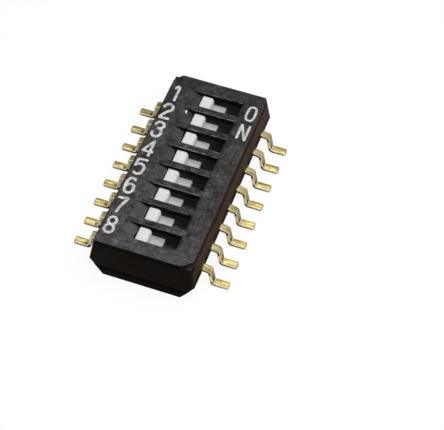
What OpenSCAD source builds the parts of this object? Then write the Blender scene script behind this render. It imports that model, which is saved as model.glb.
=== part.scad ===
/* [Switch row] */
// Number of switches in the row
positions = 8; // [2:1:12]
// Distance from one switch to the next, along the row
pitch = 1.27; // [1.24:0.01:1.6]
// Reach of the top face past the middle of the first and last switch
end_reach = 1.265; // [1.15:0.005:1.8]

/* [Body] */
// Width of the top face, across the row
top_w = 4.9; // [4.7:0.05:5.2]
// Width at the waist, where the leads come out
waist_w = 5.4; // [5.3:0.01:5.6]
// Width of the underside
underside_w = 4.04; // [3.8:0.02:4.6]
// Height of the top face above the board
top_z = 2.4; // [2.35:0.01:2.8]
// Height of the waist above the board
waist_z = 0.95; // [0.85:0.01:1.05]
// Gap between the underside and the board
stand_off = 0.02; // [0:0.01:0.2]
// Height of the joint line between cover and base on the two ends
joint_z = 0.63; // [0.4:0.01:0.65]
// How much further out each end stands at the underside than at the top face
end_draft = 0.145; // [0:0.005:0.2]
// Rounding of the edges of the top face
edge_r = 0.06; // [0.02:0.01:0.12]
// Thickness of the end walls of the cover, at the top
end_wall = 0.44; // [0.36:0.01:0.5]
// Width of the raised floor of the base
floor_w = 4.3; // [4.1:0.05:4.5]
// Gap between the cover and what it is fitted over
fit_gap = 0.02; // [0.01:0.005:0.04]

/* [Corner steps] */
// Length of a corner step across the row
step_x = 0.35; // [0.2:0.01:0.5]
// Length of a corner step along the row
step_y = 0.5; // [0.3:0.01:0.6]
// Depth of a corner step below the top face
step_d = 0.24; // [0.05:0.01:0.3]

/* [Slots] */
// Width of a slot, along the row
slot_w = 0.93; // [0.8:0.01:0.98]
// Length of the ramp that leads down to a slider
ramp_l = 0.6; // [0.3:0.01:0.7]
// Depth of the low end of a ramp below the top face
ramp_d = 0.34; // [0.1:0.01:0.5]
// Gap between the low end of a ramp and the knob of its slider
ramp_gap = 0.1; // [0.05:0.01:0.2]
// Thickness of the roof over the chambers
roof_t = 0.69; // [0.6:0.01:0.72]
// Width of a chamber, along the row
chamber_w = 1.09; // [1.05:0.01:1.14]

/* [Sliders] */
// Place of the knob's left face, across the row, with the switch off
knob_x = -0.7; // [-0.8:0.01:-0.6]
// Length of the knob, across the row
knob_l = 0.63; // [0.5:0.01:0.7]
// Depth of the top of the knob below the top face
knob_drop = 0.15; // [0.05:0.01:0.3]
// Rounding of the top of the knob
knob_r = 0.1; // [0.03:0.01:0.15]
// Rounding of the knob's top edge on the side that leads when it is switched on
knob_lead_r = 0.2; // [0.05:0.01:0.3]
// Reach of the slider's plate to the left of the knob
plate_left = 0.95; // [0.85:0.01:1]
// Reach of the slider's plate to the right of the knob
plate_right = 0.63; // [0.5:0.01:0.7]
// Thickness of the slider's plate
plate_t = 0.25; // [0.2:0.01:0.27]
// Distance that a slider moves from off to on
travel = 0.85; // [0.7:0.01:0.9]
// Gap at each side of a slider
side_gap = 0.03; // [0.01:0.005:0.04]
// Gap above the slider's plate
roof_gap = 0.02; // [0.01:0.005:0.04]
// Gap left between a slider and the wall that it stops at
stop_gap = 0.04; // [0.02:0.01:0.08]

/* [Contact springs] */
// Thickness of the spring strip
spring_t = 0.06; // [0.04:0.01:0.08]
// Width of a spring, along the row
spring_w = 0.62; // [0.5:0.01:0.7]
// Width of the slit between the two fingers at each end
slit_w = 0.12; // [0.08:0.01:0.2]
// Length of the flat middle of a spring
seat_l = 0.56; // [0.44:0.01:0.6]
// Distance between the two lines where a spring touches
touch_span = 1.4; // [1.3:0.01:1.5]
// Length of the upturned finger ends
tip_l = 0.16; // [0.1:0.01:0.2]
// Rise of the upturned finger ends
tip_rise = 0.08; // [0.04:0.01:0.1]
// Bend radius of the fingers, at mid thickness
finger_r = 0.09; // [0.06:0.01:0.1]
// Width of the square peg that holds a spring
peg_w = 0.22; // [0.16:0.01:0.26]
// Gap round the peg
peg_gap = 0.01; // [0.005:0.005:0.02]
// Gap between a finger and what it slides on
touch_gap = 0.01; // [0.005:0.005:0.02]

/* [Terminals] */
// Width of a lead, along the row
lead_w = 0.4; // [0.3:0.01:0.5]
// Thickness of a lead
lead_t = 0.17; // [0.15:0.01:0.22]
// Distance between the tips of the two rows of leads
lead_span = 8.1; // [7.8:0.05:8.6]
// Distance from the waist to the place where a lead starts to slope down
lead_level = 0.03; // [0.02:0.01:0.1]
// Drop of a lead between that place and its leg
lead_drop = 0.06; // [0.02:0.01:0.1]
// Distance from the waist to the top of a leg
leg_out = 0.36; // [0.33:0.01:0.5]
// Outward lean of a leg
leg_lean = 0.155; // [0:0.005:0.2]
// Bend radius at the top of a leg, at mid thickness
bend_r = 0.13; // [0.11:0.01:0.2]
// Bend radius at the foot of a leg, at mid thickness
heel_r = 0.16; // [0.12:0.01:0.25]
// Width of a contact pad, along the row
pad_w = 0.76; // [0.7:0.01:0.9]
// Reach of a pad past the line where a finger stops on it
pad_past = 0.2; // [0.1:0.01:0.25]
// Gap between the right pad and its finger with the switch off
open_gap = 0.5; // [0.35:0.01:0.6]

/* [Base details] */
// Width of the square windows under the pads
window_w = 0.36; // [0.2:0.01:0.5]
// Width of the catch at each end, across the row
catch_w = 1.2; // [0.8:0.05:2]
// Reach of a catch
catch_d = 0.1; // [0.05:0.01:0.15]
// Height of a catch
catch_h = 0.2; // [0.1:0.01:0.2]
// Height of a catch above the joint line
catch_up = 0.12; // [0.1:0.01:0.15]

/* [Gate mark] */
// Radius of the ball that the moulding gate's dimple is cut with
gate_r = 0.12; // [0.06:0.01:0.15]
// Depth of the dimple
gate_d = 0.05; // [0.02:0.01:0.06]
// Height of the dimple above the joint line
gate_up = 0.85; // [0.6:0.01:1]

/* [Hidden] */

// Steps in each rounded corner
arc_steps = 6;
// How far a cutting shape runs past what it cuts
past = 1;

// Length of the top face, along the row
top_l = (positions - 1) * pitch + 2 * end_reach;
// Top of the base's floor and of the pads in it
floor_z = waist_z + lead_t;
// Underside of the roof over the chambers
roof_z = top_z - roof_t;
// Sizes of the slider's plate, which runs just under the roof
plate_top = roof_z - roof_gap;
plate_bottom = plate_top - plate_t;
plate_x0 = knob_x - plate_left;
plate_x1 = knob_x + knob_l + plate_right;
plate_mid = (plate_x0 + plate_x1) / 2;
plate_w = chamber_w - 2 * side_gap;
knob_w = slot_w - 2 * side_gap;
knob_top = top_z - knob_drop;
// Ends of a chamber: the right one is the right end of the slot too
chamber_x0 = plate_x0 - stop_gap;
chamber_x1 = plate_x1 + travel + stop_gap;
// Ends of a ramp
ramp_x1 = knob_x - ramp_gap;
ramp_x0 = ramp_x1 - ramp_l;
// Lines where the fingers of a spring touch, with the switch off
touch_x0 = plate_mid - touch_span / 2;
touch_x1 = plate_mid + touch_span / 2;
// Ends of the pads
left_pad_x0 = touch_x0 - pad_past;
left_pad_x1 = touch_x0 + travel + pad_past;
right_pad_x0 = touch_x1 + open_gap;
right_pad_x1 = touch_x1 + travel + pad_past;
// Half length of the part of the base that stands between the end walls of the cover
core_y = top_l / 2 - end_wall;
// Underside of the catches
catch_z = joint_z + catch_up;

// Place of a switch along the row
function row_y(i) = ((positions + 1) / 2 - i) * pitch;

// Half width of the flanks below the waist, at height z
function flank_x(z) =
    underside_w / 2 + (waist_w - underside_w) / 2 * (z - stand_off) / (waist_z - stand_off);

// Half length of the body at height z
function end_y(z) = top_l / 2 + end_draft * (top_z - z) / (top_z - stand_off);

function unit(v) = v / norm(v);

function turned(v, a) = [v.x * cos(a) - v.y * sin(a), v.x * sin(a) + v.y * cos(a)];

// Arc of radius r that rounds the corner b between a and c
function corner_arc(a, b, c, r) =
    let (
        u = unit(a - b),
        v = unit(c - b),
        half = acos(u * v) / 2,
        centre = b + unit(u + v) * r / sin(half),
        start = b + u * r / tan(half) - centre,
        sweep = (180 - 2 * half) * sign(cross(v, u))
    )
    [for (k = [0 : arc_steps]) centre + turned(start, sweep * k / arc_steps)];

// Open line with its inner corners rounded
function rounded(path, r) =
    concat(
        [path[0]],
        [for (k = [1 : len(path) - 2]) each corner_arc(path[k - 1], path[k], path[k + 1], r)],
        [path[len(path) - 1]]
    );

// Outline of a strip of thickness t that follows a line
function strip(path, t) =
    let (
        last = len(path) - 1,
        side = [
            for (k = [0 : last])
                let (
                    a = max(k, 1),
                    b = min(k, last - 1),
                    before = unit(path[a] - path[a - 1]),
                    after = unit(path[b + 1] - path[b]),
                    middle = unit(before + after)
                )
                turned(middle, 90) * t / 2 / (middle * before)
        ]
    )
    concat(
        [for (k = [0 : last]) path[k] + side[k]],
        [for (k = [last : -1 : 0]) path[k] - side[k]]
    );

// Outline across the row, extruded along it
module across(w) {
    rotate([90, 0, 0])
        linear_extrude(w, center = true)
            children();
}

// Outline along the row, extruded across it
module along(w) {
    rotate([90, 0, 90])
        linear_extrude(w, center = true)
            children();
}

// Box between two corners
module block(low, high) {
    translate(low)
        cube(high - low);
}

// Copies for the whole row
module each_switch() {
    for (i = [1 : positions])
        translate([0, row_y(i), 0])
            children();
}

// Section of the cover across the row: rounded at the top, widest at the waist, then tapering in
module cover_section() {
    joint_l = [-flank_x(joint_z), joint_z];
    joint_r = [flank_x(joint_z), joint_z];
    waist_l = [-waist_w / 2, waist_z];
    waist_r = [waist_w / 2, waist_z];
    top_left = [-top_w / 2, top_z];
    top_right = [top_w / 2, top_z];
    polygon(concat(
        [joint_l, waist_l],
        corner_arc(waist_l, top_left, top_right, edge_r),
        corner_arc(top_left, top_right, waist_r, edge_r),
        [waist_r, joint_r]
    ));
}

// Outline of the cover along the row: its ends slope out a little on the way down
module cover_side() {
    low_a = [-end_y(joint_z), joint_z];
    low_b = [end_y(joint_z), joint_z];
    top_a = [-top_l / 2, top_z];
    top_b = [top_l / 2, top_z];
    polygon(concat(
        [low_a],
        corner_arc(low_a, top_a, top_b, edge_r),
        corner_arc(top_a, top_b, low_b, edge_r),
        [low_b]
    ));
}

// Opening for one slider: the ramp, the open slot and the wider chamber under the roof
module slider_way() {
    across(slot_w)
        polygon([
            [ramp_x0 - past * ramp_l / ramp_d, top_z + past],
            [ramp_x1, top_z - ramp_d],
            [ramp_x1, roof_z - fit_gap],
            [chamber_x1, roof_z - fit_gap],
            [chamber_x1, top_z + past]
        ]);
    block([chamber_x0, -chamber_w / 2, floor_z - fit_gap], [chamber_x1, chamber_w / 2, roof_z]);
}

// Triangular step in the top face, at the corner where x and y are positive
module corner_step() {
    hx = top_w / 2;
    hy = top_l / 2;
    translate([0, 0, top_z - step_d])
        linear_extrude(step_d + past)
            polygon([
                [hx - 2 * step_x, hy + step_y],
                [hx + step_x, hy - 2 * step_y],
                [hx + step_x, hy + step_y]
            ]);
}

// Wedge on the end of the base that the cover snaps over, grown by a gap for its recess
module catch(gap) {
    translate([0, core_y, 0])
        along(catch_w + 2 * gap)
            polygon([
                [-gap, catch_z - gap],
                [catch_d + gap, catch_z - gap],
                [catch_d + gap, catch_z + catch_h / 3],
                [0, catch_z + catch_h + gap],
                [-gap, catch_z + catch_h + gap]
            ]);
}

// Both ends: the far one is the mirror image of the near one
module both_ends() {
    children();
    mirror([0, 1, 0])
        children();
}

// Moulded cover: roof with eight slots and ramps, ribs, skirts and end walls
module cover() {
    color([0.16, 0.15, 0.15])
        difference() {
            intersection() {
                across(2 * end_y(joint_z) + past)
                    cover_section();
                along(waist_w + past)
                    cover_side();
            }
            block([-waist_w, -core_y, 0], [waist_w, core_y, waist_z]);
            block(
                [-floor_w / 2 - fit_gap, -core_y, waist_z - past],
                [floor_w / 2 + fit_gap, core_y, floor_z]
            );
            each_switch() {
                slider_way();
                block(
                    [-waist_w, -lead_w / 2 - fit_gap, waist_z - past],
                    [waist_w, lead_w / 2 + fit_gap, floor_z]
                );
            }
            both_ends()
                catch(fit_gap);
            rotate([0, 0, 180])
                mirror([1, 0, 0])
                    corner_step();
            mirror([1, 0, 0])
                corner_step();
            translate([0, -end_y(joint_z + gate_up) - gate_r + gate_d, joint_z + gate_up])
                sphere(gate_r, $fn = 32);
        }
}

// Moulded base: tapered foot, raised floor with seats for the terminals, and end catches
module base() {
    color([0.13, 0.12, 0.12])
        difference() {
            union() {
                intersection() {
                    across(2 * end_y(stand_off) + past)
                        polygon([
                            [-underside_w / 2, stand_off],
                            [underside_w / 2, stand_off],
                            [waist_w / 2, waist_z],
                            [-waist_w / 2, waist_z]
                        ]);
                    along(waist_w + past)
                        polygon([
                            [-end_y(stand_off), stand_off],
                            [end_y(stand_off), stand_off],
                            [end_y(joint_z), joint_z],
                            [core_y, joint_z],
                            [core_y, waist_z],
                            [-core_y, waist_z],
                            [-core_y, joint_z],
                            [-end_y(joint_z), joint_z]
                        ]);
                }
                block([-floor_w / 2, -core_y, waist_z], [floor_w / 2, core_y, floor_z]);
                both_ends()
                    catch(0);
            }
            each_switch() {
                block([-waist_w, -lead_w / 2, waist_z], [left_pad_x0, lead_w / 2, floor_z + past]);
                block([left_pad_x0, -pad_w / 2, waist_z], [left_pad_x1, pad_w / 2, floor_z + past]);
                block([right_pad_x0, -pad_w / 2, waist_z], [right_pad_x1, pad_w / 2, floor_z + past]);
                block([right_pad_x1, -lead_w / 2, waist_z], [waist_w, lead_w / 2, floor_z + past]);
                for (x = [(left_pad_x0 + left_pad_x1) / 2, (right_pad_x0 + right_pad_x1) / 2])
                    block([x - window_w / 2, -window_w / 2, 0], [x + window_w / 2, window_w / 2, waist_z]);
            }
        }
}

// Slider: a knob with a rounded top on a long plate, with a square peg below
module slider(i) {
    knob_mid = knob_x + knob_l / 2;
    knob_x1 = knob_x + knob_l;
    low_left = [knob_x, plate_bottom];
    top_left = [knob_x, knob_top];
    top_right = [knob_x1, knob_top];
    low_right = [knob_x1, plate_bottom];
    color([0.93, 0.93, 0.91])
        translate([0, row_y(i), 0]) {
            block([plate_x0, -plate_w / 2, plate_bottom], [plate_x1, plate_w / 2, plate_top]);
            intersection() {
                across(knob_w)
                    polygon(concat(
                        [low_left],
                        corner_arc(low_left, top_left, top_right, knob_r),
                        corner_arc(top_left, top_right, low_right, knob_lead_r),
                        [low_right]
                    ));
                translate([knob_mid, 0, 0])
                    along(knob_l)
                        polygon(rounded([
                            [-knob_w / 2, plate_bottom],
                            [-knob_w / 2, knob_top],
                            [knob_w / 2, knob_top],
                            [knob_w / 2, plate_bottom]
                        ], knob_r));
            }
            block(
                [plate_mid - peg_w / 2, -peg_w / 2, plate_bottom - spring_t],
                [plate_mid + peg_w / 2, peg_w / 2, plate_bottom]
            );
        }
}

// Contact spring: a flat middle on the slider's peg and two forked fingers that bow down to the floor
module contact_spring(i) {
    seat_z = plate_bottom - spring_t / 2;
    touch_z = floor_z + touch_gap + spring_t / 2;
    half = touch_span / 2;
    fork_x = seat_l / 2;
    end_x = half + tip_l;
    path = [
        [-end_x, touch_z + tip_rise],
        [-half, touch_z],
        [-fork_x, seat_z],
        [fork_x, seat_z],
        [half, touch_z],
        [end_x, touch_z + tip_rise]
    ];
    color([0.85, 0.66, 0.3])
        translate([plate_mid, row_y(i), 0])
            difference() {
                across(spring_w)
                    polygon(strip(rounded(path, finger_r), spring_t));
                block(
                    [-peg_w / 2 - peg_gap, -peg_w / 2 - peg_gap, seat_z - spring_t],
                    [peg_w / 2 + peg_gap, peg_w / 2 + peg_gap, seat_z + spring_t]
                );
                block([-end_x - past, -slit_w / 2, 0], [-fork_x, slit_w / 2, top_z]);
                block([fork_x, -slit_w / 2, 0], [end_x + past, slit_w / 2, top_z]);
            }
}

// Gull-wing lead on the positive side, from inner_x out to its foot
module lead(inner_x) {
    level_z = waist_z + lead_t / 2;
    foot_z = lead_t / 2;
    inner = [inner_x, level_z];
    crest = [waist_w / 2 + lead_level, level_z];
    knee = [waist_w / 2 + leg_out, level_z - lead_drop];
    heel = knee + [leg_lean, foot_z - knee.y];
    tip = [lead_span / 2, foot_z];
    path = concat(
        [inner],
        corner_arc(inner, crest, knee, bend_r),
        corner_arc(crest, knee, heel, bend_r),
        corner_arc(knee, heel, tip, heel_r),
        [tip]
    );
    across(lead_w)
        polygon(strip(path, lead_t));
}

// Left terminal: its long pad touches the spring in both positions
module terminal_left(i) {
    color([0.85, 0.68, 0.32])
        translate([0, row_y(i), 0]) {
            mirror([1, 0, 0])
                lead(-(left_pad_x0 + left_pad_x1) / 2);
            block([left_pad_x0, -pad_w / 2, waist_z], [left_pad_x1, pad_w / 2, floor_z]);
        }
}

// Right terminal: its short pad touches the spring only with the switch on
module terminal_right(i) {
    color([0.85, 0.68, 0.32])
        translate([0, row_y(i), 0]) {
            lead((right_pad_x0 + right_pad_x1) / 2);
            block([right_pad_x0, -pad_w / 2, waist_z], [right_pad_x1, pad_w / 2, floor_z]);
        }
}

cover();
base();
for (i = [1 : positions]) {
    slider(i);
    contact_spring(i);
    terminal_left(i);
    terminal_right(i);
}
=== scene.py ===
"""Looks of a DIP switch with eight white sliders and gold gull-wing leads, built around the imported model."""

import math

import bmesh
import bpy
import numpy as np
from mathutils import Matrix, Vector, noise


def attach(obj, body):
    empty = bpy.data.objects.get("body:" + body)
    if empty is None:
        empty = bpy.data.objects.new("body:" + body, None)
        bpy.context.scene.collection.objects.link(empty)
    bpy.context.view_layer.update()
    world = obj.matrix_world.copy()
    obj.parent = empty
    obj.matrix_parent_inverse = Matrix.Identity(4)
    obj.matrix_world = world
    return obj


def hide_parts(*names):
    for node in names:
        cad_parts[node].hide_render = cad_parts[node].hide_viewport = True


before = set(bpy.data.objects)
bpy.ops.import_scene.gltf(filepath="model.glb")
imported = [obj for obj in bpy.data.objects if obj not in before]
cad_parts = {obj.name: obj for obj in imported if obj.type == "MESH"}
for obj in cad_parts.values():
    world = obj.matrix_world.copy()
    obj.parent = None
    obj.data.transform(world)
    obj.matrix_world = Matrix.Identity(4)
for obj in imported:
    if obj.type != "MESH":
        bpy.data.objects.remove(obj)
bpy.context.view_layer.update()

# Sizes, in millimetres
MM = 0.001
POSITIONS = 8
PITCH = 1.27
TOP_Z = 2.4
JOINT_Z = 0.63
WAIST_Z = 0.95
WAIST_HALF_W = 2.7
STAND_OFF = 0.02
TOP_HALF_W = 2.45
CORE_Y = 5.27
END_Y = 5.71
SLOT_END = 1.45
CORNER_X = 2.0
CORNER_Y = CORE_Y + 0.3
RIMS_HALF_X = TOP_HALF_W - 0.05
RIMS_HALF_Y = CORE_Y + 0.38
BASE_END_Y = CORE_Y + 0.1
BASE_UPRIGHT = 0.1
LIP_X = -0.8
LIP_Z = 2.06
COVER_ROUND = 0.14
BASE_ROUND = 0.06
HAIR = 0.01
WELD = 0.0005

# Slider sizes, with the switch off
KNOB_X = (-0.7, -0.07)
KNOB_W = 0.87
KNOB_TOP = 2.25
KNOB_ROUND = 0.2
PLATE_X = (-1.65, 0.56)
PLATE_W = 1.03
PLATE_Z = (1.44, 1.69)
PEG_X = (-0.655, -0.435)
PEG_W = 0.22
PEG_Z = 1.38

# Terminal sizes
LEAD_W = 0.4
LEAD_T = 0.17
LEAD_ROUND = 0.035
LEAD_LEVEL = 0.03
LEAD_DROP = 0.06
LEG_X = 3.06
LEG_LEAN = 0.155
BEND_R = 0.13
HEEL_R = 0.16
TIP_X = 4.05
TIP_ROUND = 0.09
TIP_EASE = 0.03
PAD_W = 0.76
PAD_BEVEL = 0.01
PAD_ROUND = 0.012
PAD_STEP = 0.001
PAD_FADE = 0.5
LEVEL_Z = WAIST_Z + LEAD_T / 2
FOOT_Z = LEAD_T / 2
LEFT_PAD = (-1.445, -0.195)
RIGHT_PAD = (0.655, 1.205)

# Print sizes: INK_THIN is the share of its thickness at an edge, INK_RAGGED the depths and waves of the edge
INK_T = 0.009
INK_SUNK = 0.002
INK_CELL = 0.025
INK_SLOPE = 0.03
INK_THIN = 0.35
INK_RAGGED = ((0.014, 12), (0.009, 33))
INK_HALF_X = 0.48
INK_HALF_Y = 0.68
NUMERAL_X = -2.02
NUMERAL_DROP = 0.09
WORD_X = 2.062
WORD_Y = (4.395, 3.11)

# The black plastic: places where a shade starts and ends, MIDDLE from the middle between two rows
# half the length along Y of the top's painted sheen
SHEEN_HALF_Y = 5.9
RIBS_END_X = (1.1, 1.4)
ROWS_END_Y = (4.8, 5.0)
STEP_Z = (TOP_Z - 0.2, TOP_Z - 0.08)
CORE_ENDS_Y = (CORE_Y - 0.1, CORE_Y)
MOUTH_X = (0.6, 1.0)
MOUTH_END_X = (SLOT_END, SLOT_END + 0.15)
MOUTH_MIDDLE = (0.1, 0.2)
MOUTH_ENDS_Y = (4.95, 5.05)
INNER_SIDE_X = (1.9, 2.0)
INNER_END_X = (SLOT_END - 0.35, SLOT_END)
INNER_LOW_Z = (1.45, 1.85)
INNER_TOP_Z = (1.95, 2.1)
STRIPE_WAVE = 0.06
FLANK_END_Y = (-5.4, -4.2)
GLOW_MIDDLE = (0.28, 0.5)
GLOW_ENDS_Y = (4.9, 5.0)
GLOW_TOP_Z = WAIST_Z + 0.35

# The leads: places where a shade starts and ends, WIDTH along Y from the lead's middle
HEEL_TOP_Z = (LEAD_T + 0.06, LEAD_T + 0.12)
FOOT_TOP_Z = (LEAD_T, LEAD_T + 0.05)
LEG_LOW_Z = (LEAD_T + 0.08, LEAD_T + 0.2)
LEG_TOP_Z = (WAIST_Z - 0.25, WAIST_Z - 0.12)
LEG_SHADE_Z = (0.25, 0.85)
CREST_Z = (WAIST_Z - 0.1, WAIST_Z)
FAR_EDGE_WIDTH = (0.08, 0.18)
NEAR_EDGE_WIDTH = (-0.19, -0.08)
SPOT_WIDTH = (0.0, 0.1)
SPOT_INNER_X = (3.30, 3.35)
SPOT_OUTER_X = (3.44, 3.52)

# Camera, fitted to the photograph: roll in degrees, clip in metres
CAMERA_AT = (16.2477, -43.8131, 60.9861)
CAMERA_TO = (2.5230, -1.2940, 1.2)
CAMERA_ROLL = 1.986
CAMERA_LENS = 122.892
CAMERA_SENSOR = 36
CAMERA_CLIP = (0.001, 5)

# Angles in degrees, and the X of a normal between level faces and ramps
RAMP_TILT = 29
TIP_STEPS = (0, 20, 40, 55, 70, 90)
LEAD_CREASE = 50
PRINT_CREASE = 60
SPECK_CREASE = 80
FLAT_WITHIN = 0.4
COVER_ANGLE = 35
BASE_ANGLE = 20
SLIDER_ANGLE = 20
RAMP_NORMAL = (0.25, 0.45)

# Shares of the rounding's width that an edge gets, knobs with their right edges first
SLOT_SHARE = 0.25
SLOT_END_SHARE = 0.05
CORNER_SHARE = 0.5
NEAR_RIGHT_SHARE = 1.0
BASE_FOOT_SHARE = 0.4
BASE_UPRIGHT_SHARE = 0.7
BASE_LEVEL_SHARE = 0.3
KNOB_TOP_SHARES = (1.0, 0.5)
KNOB_UPRIGHT_SHARES = (0.7, 0.35)
KNOB_FOOT_SHARE = 0.15
PLATE_SHARE = 0.12


def row_y(i):
    return ((POSITIONS + 1) / 2 - i) * PITCH


# Materials
class Shader:
    """A short way to write a node tree. Values may be numbers or sockets, and what comes back is a socket."""

    def __init__(self, name):
        self.material = bpy.data.materials.new(name)
        self.material.use_nodes = True
        self.tree = self.material.node_tree
        self.tree.nodes.clear()

    def node(self, kind, **inputs):
        """Adds a node. _key sets its property, and Some__Key feeds its socket "Some Key"."""
        made = self.tree.nodes.new(kind)
        for key, value in inputs.items():
            if key.startswith("_"):
                setattr(made, key[1:], value)
            else:
                self.feed(made.inputs[key.replace("__", " ")], value)
        return made

    def feed(self, socket, value):
        if isinstance(value, bpy.types.NodeSocket):
            self.tree.links.new(value, socket)
        else:
            socket.default_value = value

    def place(self):
        """The place on the piece at rest, in metres."""
        return self.node("ShaderNodeTexCoord").outputs["Object"]

    def axes(self, vector):
        return self.node("ShaderNodeSeparateXYZ", Vector=vector).outputs

    def facing(self):
        """X, Y and Z of the surface's normal."""
        return self.axes(self.node("ShaderNodeTexCoord").outputs["Normal"])

    def noise(self, vector, scale, detail=2.0, rough=0.5, distortion=0.0):
        """Soft noise from 0 to 1, with its scale in cells to the metre."""
        made = self.node("ShaderNodeTexNoise", Vector=vector, Scale=scale, Detail=detail,
                         Roughness=rough, Distortion=distortion)
        return made.outputs["Fac"]

    def stretch(self, vector, scale):
        made = self.node("ShaderNodeMapping", Vector=vector)
        made.inputs["Scale"].default_value = scale
        return made.outputs["Vector"]

    def ramp(self, value, stops):
        made = self.node("ShaderNodeValToRGB", Fac=value)
        elements = made.color_ramp.elements
        while len(elements) < len(stops):
            elements.new(0.5)
        for element, (at, colour) in zip(elements, stops):
            element.position = at
            element.color = (*colour, 1)
        return made.outputs["Color"]

    def span(self, value, low, high, to_low=0.0, to_high=1.0):
        """Goes from to_low to to_high while the value goes from low to high."""
        made = self.node("ShaderNodeMapRange", Value=value)
        made.inputs["From Min"].default_value = low
        made.inputs["From Max"].default_value = high
        made.inputs["To Min"].default_value = to_low
        made.inputs["To Max"].default_value = to_high
        return made.outputs["Result"]

    def reach(self, length, low, high, to_low=0.0, to_high=1.0):
        """As span, for a length whose two ends are given in millimetres."""
        return self.span(length, low * MM, high * MM, to_low, to_high)

    def band(self, length, low, high, soft):
        """1 between two lengths in millimetres, with soft ends."""
        return self.times(self.reach(length, low - soft, low + soft),
                          self.reach(length, high - soft, high + soft, 1.0, 0.0))

    def math(self, operation, a, b=0.0):
        made = self.node("ShaderNodeMath", _operation=operation)
        self.feed(made.inputs[0], a)
        self.feed(made.inputs[1], b)
        return made.outputs[0]

    def size(self, value):
        return self.math("ABSOLUTE", value)

    def most(self, a, b):
        return self.math("MAXIMUM", a, b)

    def times(self, first, *others):
        for other in others:
            first = self.math("MULTIPLY", first, other)
        return first

    def total(self, first, *others):
        for other in others:
            first = self.math("ADD", first, other)
        return first

    def to_row(self, y):
        """Distance along Y from the middle between two rows: half a pitch at a row."""
        return self.math("PINGPONG", y, PITCH / 2 * MM)

    # Painted shade on the top beside the slots' right ends
    def mouth_shade(self, x, y):
        """Share of light on the top beside the slots' right ends, whose edges look soft in the photograph."""
        between_rows = self.reach(self.to_row(y), *MOUTH_MIDDLE, 1.0, 0.0)
        past_rows = self.reach(self.size(y), *MOUTH_ENDS_Y)
        clear = self.most(self.reach(x, *MOUTH_X, 1.0, 0.0), self.most(between_rows, past_rows))
        return self.most(clear, self.reach(x, *MOUTH_END_X, 0.45, 0.96))

    def mix(self, factor, a, b):
        made = self.node("ShaderNodeMix", _data_type="RGBA")
        self.feed(made.inputs[0], factor)
        for socket, value in ((made.inputs[6], a), (made.inputs[7], b)):
            self.feed(socket, (*value, 1) if isinstance(value, tuple) else value)
        return made.outputs[2]

    def scale(self, colour, share):
        made = self.node("ShaderNodeVectorMath", _operation="SCALE", Scale=share)
        self.feed(made.inputs[0], colour)
        return made.outputs["Vector"]

    def bump(self, height, strength, distance, normal=None):
        """Bump whose distance is in millimetres, on top of another one where a normal is given."""
        made = self.node("ShaderNodeBump", Height=height, Strength=strength, Distance=distance * MM)
        if normal is not None:
            self.feed(made.inputs["Normal"], normal)
        return made.outputs["Normal"]

    def finish(self, **inputs):
        shader = self.node("ShaderNodeBsdfPrincipled", **inputs)
        out = self.node("ShaderNodeOutputMaterial", Surface=shader.outputs[0])
        out.is_active_output = True
        return self.material


def times_colour(share, colour):
    return tuple(share * c for c in colour)


# Share of the top's near colour, from the near end to the far end: a painted sheen, strongest at the near end
TOP_SHEEN_SHARES = ((0.0, (1, 1, 1)), (0.15, (0.62, 0.62, 0.62)), (0.42, (0.27, 0.27, 0.27)), (1.0, (0, 0, 0)))


def black_top(name, far, near, rough, level):
    """Moulded black plastic with spark-eroded grain, for faces that look up.

    It gets paler towards the near end, as a painted sheen. The ramps are paler, as painted light from the
    right, and more even. The ribs between the slots are scored along X. It is darker beside the slots' right
    ends and on the low steps at the body's two ends, as painted shade."""
    s = Shader(name)
    at = s.place()
    x, y, z = s.axes(at)
    along = s.size(y)
    slope = s.facing()["X"]
    cloud = s.noise(at, 380, 3, 0.55)
    patches = s.noise(at, 2300, 3, 0.6, 0.6)
    grain = s.noise(at, 6500, 3, 0.65)
    fine = s.noise(at, 18000, 2, 0.6)
    scored = s.noise(s.stretch(at, (0.3, 1.5, 1.0)), 6500, 3, 0.65)
    speckle = s.total(s.times(patches, 0.42), s.times(grain, 0.38), s.times(fine, 0.2))
    on_rib = s.times(s.reach(s.size(x), *RIBS_END_X, 1.0, 0.0), s.reach(along, *ROWS_END_Y, 1.0, 0.0),
                     s.span(slope, *RAMP_NORMAL, 1.0, 0.0))
    share = s.total(s.span(speckle, 0.38, 0.49, 0.35, 1.0), s.span(speckle, 0.51, 0.64, 0.0, 1.4))
    # the ramps, which face right, get a more even grain and a paler colour, the paler colour being painted
    # light
    share = s.math("POWER", share, s.span(slope, *RAMP_NORMAL, 1.0, 0.4))
    share = s.times(share, s.span(slope, *RAMP_NORMAL, 1.0, 1.5), s.span(on_rib, 0.0, 1.0, 1.0, 0.8))
    share = s.times(share, s.total(1.0, s.times(on_rib, s.span(scored, 0.4, 0.62, -0.4, 0.9))))
    # painted shade beside the slots' right ends
    share = s.times(share, s.span(cloud, 0.3, 0.7, 1.0, 0.76), s.mouth_shade(x, y))
    # painted shade on the low steps at the body's two ends
    share = s.times(share, s.most(s.reach(z, *STEP_Z, 0.45, 1.0), s.reach(along, *CORE_ENDS_Y, 1.0, 0.0)))
    # painted sheen: the top is paler towards the near end
    painted_sheen = s.ramp(s.reach(y, -SHEEN_HALF_Y, SHEEN_HALF_Y), TOP_SHEEN_SHARES)
    base = s.scale(s.mix(painted_sheen, far, near), share)
    normal = s.bump(patches, 0.4, 0.04)
    normal = s.bump(grain, 0.5, 0.02, normal)
    normal = s.bump(fine, 0.3, 0.008, normal)
    return s.finish(Base__Color=base, Roughness=s.span(grain, 0.3, 0.7, rough - 0.08, rough + 0.08),
                    Normal=normal, Specular__IOR__Level=level)


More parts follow.
